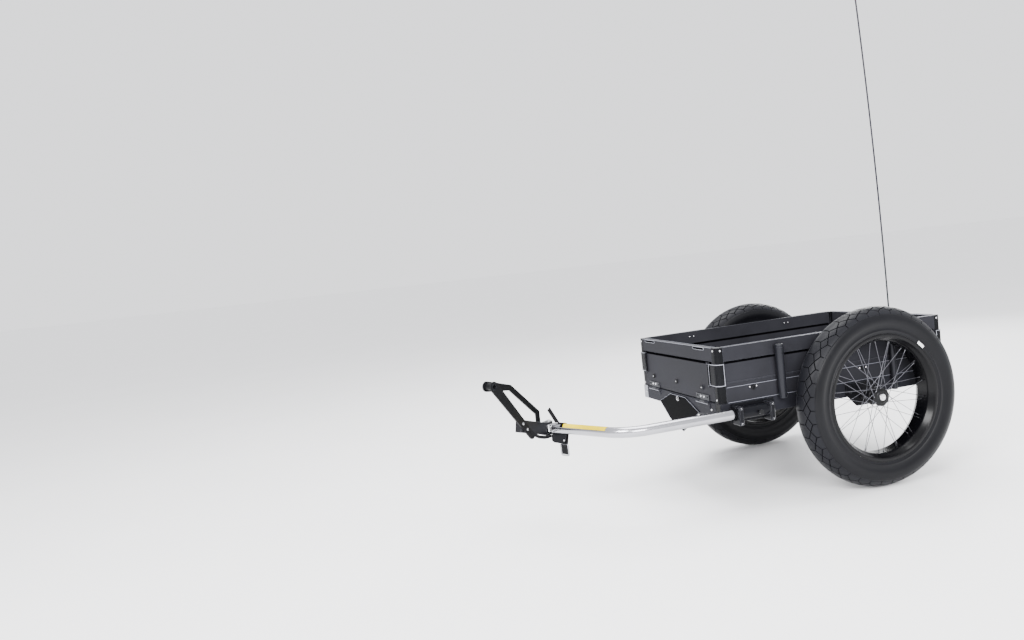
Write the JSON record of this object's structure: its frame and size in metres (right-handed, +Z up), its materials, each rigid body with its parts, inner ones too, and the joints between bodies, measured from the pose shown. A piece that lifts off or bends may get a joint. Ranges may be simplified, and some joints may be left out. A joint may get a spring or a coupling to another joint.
{
  "type": "bicycle trailer",
  "caption": "Open cargo-box trailer for a bicycle, on fat spoked wheels, with folding latched end walls, a side drawbar with a swivelling axle hitch, a safety strap and a flag pole.",
  "frame": {"origin": "centre of the bounding box in plan, on the ground", "axes": "+Z up, -Y the way the trailer is towed, +X the trailer's left, the side that the drawbar is on"},
  "size_m": [0.8, 1.6515, 1.8086],
  "materials": {
    "floor_black": "matte moulded floor panel",
    "rail_black": "satin black coating",
    "cap_grey": "light grey push-in cap",
    "plate_black": "satin black powder coat",
    "box_black": "satin black with a cool grey sheen",
    "post_black": "satin black coating",
    "silver_steel": "bright zinc or brushed steel",
    "tube_grey": "satin grey anodised tube",
    "hinge_grey": "dull grey steel",
    "latch_black": "satin black sheet with a light worn rim",
    "tyre_rubber": "matte black rubber",
    "rim_black": "gloss black",
    "hub_black": "satin black hub, bright spokes",
    "polished_aluminium": "polished",
    "block_black": "satin grey-black",
    "webbing_black": "woven webbing",
    "pole_black": "black glass-fibre rod"
  },
  "bodies": {
    "box_and_base": {"floor_panel": "floor_black", "left_side_rail": "rail_black", "right_side_rail": "rail_black", "left_front_rail_cap": "cap_grey", "left_rear_rail_cap": "cap_grey", "right_front_rail_cap": "cap_grey", "right_rear_rail_cap": "cap_grey", "left_axle_plate": "plate_black", "right_axle_plate": "plate_black", "front_cross_rail": "rail_black", "rear_cross_rail": "rail_black", "left_side_wall": "box_black", "right_side_wall": "box_black", "left_front_corner_post": "post_black", "left_rear_corner_post": "post_black", "right_front_corner_post": "post_black", "right_rear_corner_post": "post_black", "left_stub_axle": "silver_steel", "right_stub_axle": "silver_steel", "left_front_stake_tube": "tube_grey", "right_front_stake_tube": "tube_grey", "right_rear_stake_tube": "tube_grey", "flag_pole_socket": "tube_grey", "skid_plate": "plate_black", "receiver_tube": "tube_grey", "receiver_collar": "plate_black", "receiver_front_clamp": "plate_black", "receiver_rear_clamp": "plate_black", "receiver_backing_plate": "plate_black"},
    "front_wall": {"front_wall_panel": "box_black", "front_wall_upper_board": "box_black", "front_left_hinge_leaf": "hinge_grey", "front_right_hinge_leaf": "hinge_grey"},
    "rear_wall": {"rear_wall_panel": "box_black", "rear_wall_upper_board": "box_black", "rear_left_hinge_leaf": "hinge_grey", "rear_right_hinge_leaf": "hinge_grey"},
    "front_left_latch": {"front_left_latch": "latch_black"},
    "front_right_latch": {"front_right_latch": "latch_black"},
    "rear_left_latch": {"rear_left_latch": "latch_black"},
    "rear_right_latch": {"rear_right_latch": "latch_black"},
    "left_wheel": {"left_tyre": "tyre_rubber", "left_rim": "rim_black", "left_spoked_hub": "hub_black"},
    "left_axle_button": {"left_axle_button": "silver_steel"},
    "right_wheel": {"right_tyre": "tyre_rubber", "right_rim": "rim_black", "right_spoked_hub": "hub_black"},
    "right_axle_button": {"right_axle_button": "silver_steel"},
    "drawbar": {"drawbar": "polished_aluminium", "coupling_head": "polished_aluminium", "coupling_plate": "plate_black", "safety_strap": "webbing_black", "strap_ring": "silver_steel"},
    "hitch": {"hitch_block": "block_black", "hitch_near_arm": "plate_black", "hitch_far_arm": "plate_black", "kingpin": "silver_steel"},
    "drawbar_lock_pin": {"drawbar_lock_pin": "silver_steel"},
    "flag_pole": {"flag_pole": "pole_black"}
  },
  "joints": [
    {"name": "left_wheel_spin", "type": "hinge", "parent": "box_and_base", "child": "left_wheel", "pos_m": [0.352, 0.4625, 0.3025], "axis": [1, 0, 0], "continuous": true},
    {"name": "right_wheel_spin", "type": "hinge", "parent": "box_and_base", "child": "right_wheel", "pos_m": [-0.352, 0.4625, 0.3025], "axis": [1, 0, 0], "continuous": true},
    {"name": "left_button_press", "type": "slide", "parent": "left_wheel", "child": "left_axle_button", "axis": [-1, 0, 0], "range_m": [0, 0.0025], "stiffness_N_per_m": 600},
    {"name": "right_button_press", "type": "slide", "parent": "right_wheel", "child": "right_axle_button", "axis": [1, 0, 0], "range_m": [0, 0.0025], "stiffness_N_per_m": 600},
    {"name": "front_wall_fold", "type": "hinge", "parent": "box_and_base", "child": "front_wall", "pos_m": [0, -0.088, 0.348], "axis": [1, 0, 0], "range_deg": [0, 90]},
    {"name": "rear_wall_fold", "type": "hinge", "parent": "box_and_base", "child": "rear_wall", "pos_m": [0, 0.822, 0.348], "axis": [-1, 0, 0], "range_deg": [0, 175]},
    {"name": "front_left_latch_swing", "type": "hinge", "parent": "front_wall", "child": "front_left_latch", "pos_m": [0.2315, -0.088, 0.443], "axis": [0, 0, -1], "range_deg": [0, 100]},
    {"name": "front_right_latch_swing", "type": "hinge", "parent": "front_wall", "child": "front_right_latch", "pos_m": [-0.2315, -0.088, 0.443], "axis": [0, 0, 1], "range_deg": [0, 100]},
    {"name": "rear_left_latch_swing", "type": "hinge", "parent": "rear_wall", "child": "rear_left_latch", "pos_m": [0.2315, 0.822, 0.443], "axis": [0, 0, 1], "range_deg": [0, 100]},
    {"name": "rear_right_latch_swing", "type": "hinge", "parent": "rear_wall", "child": "rear_right_latch", "pos_m": [-0.2315, 0.822, 0.443], "axis": [0, 0, -1], "range_deg": [0, 100]},
    {"name": "drawbar_slide", "type": "slide", "parent": "box_and_base", "child": "drawbar", "axis": [0, -1, 0], "range_m": [0, 0.1]},
    {"name": "lock_pin_pull", "type": "slide", "parent": "box_and_base", "child": "drawbar_lock_pin", "axis": [1, 0, 0], "range_m": [0, 0.01], "stiffness_N_per_m": 400},
    {"name": "hitch_yaw", "type": "hinge", "parent": "drawbar", "child": "hitch", "pos_m": [0, -0.5829, 0.3073], "axis": [0, 0, 1], "range_deg": [-80, 8]},
    {"name": "flag_pole_slide", "type": "slide", "parent": "box_and_base", "child": "flag_pole", "axis": [0, 0, 1], "range_m": [0, 0.15]}
  ]
}
